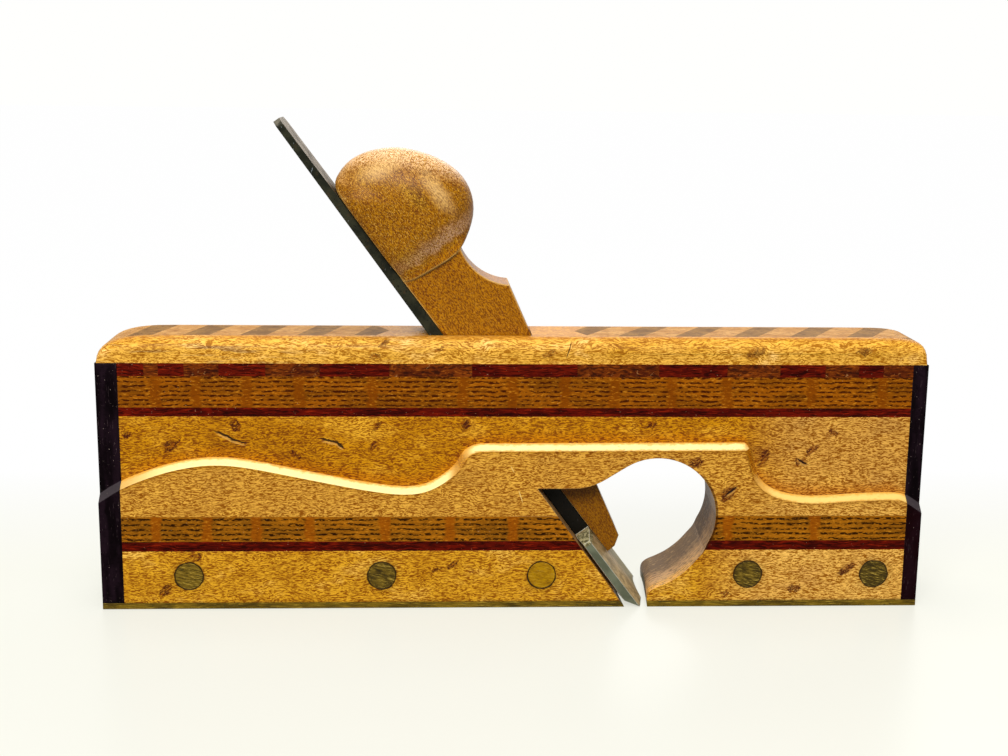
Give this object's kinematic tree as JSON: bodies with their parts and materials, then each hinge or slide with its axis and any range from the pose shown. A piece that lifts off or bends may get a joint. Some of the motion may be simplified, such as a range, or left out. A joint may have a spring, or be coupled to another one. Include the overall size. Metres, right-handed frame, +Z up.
{
  "type": "hollow moulding plane",
  "caption": "Hollow moulding plane with a striped laminated wooden stock, concave brass sole, tapered iron and wedge, for planing a rounded profile along an edge.",
  "frame": {"origin": "under the middle of the stock, at the height of the sole", "axes": "+X towards the toe, +Y towards the blind side away from the shoulder, +Z up"},
  "size_m": [0.2414, 0.028, 0.1422],
  "materials": {
    "brass": "tarnished to olive brown, worn brighter along the edges",
    "pin_brass": "filed flush with fine scratches, tarnished",
    "maple": "aged golden figured maple, waxed",
    "red_strip": "dark red hardwood strip, waxed",
    "streaked_wood": "brown streaked hardwood, waxed",
    "block_red": "dark red hardwood blocks, waxed",
    "block_brown": "brown hardwood blocks, waxed",
    "stripe_dark": "dark brown inlaid stripes, waxed",
    "stripe_light": "pale golden inlaid stripes, waxed",
    "dark_wood": "near black hardwood end pieces, scratched",
    "steel": "dark forged steel with patina, brighter at the ground faces",
    "wedge_maple": "aged honey maple, handled smooth"
  },
  "bodies": {
    "stock": {"sole_heel": "brass", "sole_toe": "brass", "cross_pins": "pin_brass", "lower_board_heel": "maple", "lower_board_toe": "maple", "lower_red_strip_heel": "red_strip", "lower_red_strip_toe": "red_strip", "lower_streaked_strip_heel": "streaked_wood", "lower_streaked_strip_toe": "streaked_wood", "main_board": "maple", "upper_red_strip": "red_strip", "upper_streaked_strip": "streaked_wood", "band_blocks_red": "block_red", "band_blocks_brown": "block_brown", "top_board": "maple", "inlay_dark_heel": "stripe_dark", "inlay_light_heel": "stripe_light", "inlay_dark_toe": "stripe_dark", "inlay_light_toe": "stripe_light", "heel_cap": "dark_wood", "toe_cap": "dark_wood"},
    "iron": {"iron": "steel"},
    "wedge": {"wedge": "wedge_maple"}
  },
  "joints": [
    {"name": "iron_slide", "type": "slide", "parent": "stock", "child": "iron", "axis": [-0.5871, 0, 0.8095], "range_m": [-0.004, 0.01]},
    {"name": "wedge_slide", "type": "slide", "parent": "stock", "child": "wedge", "axis": [-0.6007, 0, 0.7995], "range_m": [0, 0.085]}
  ]
}
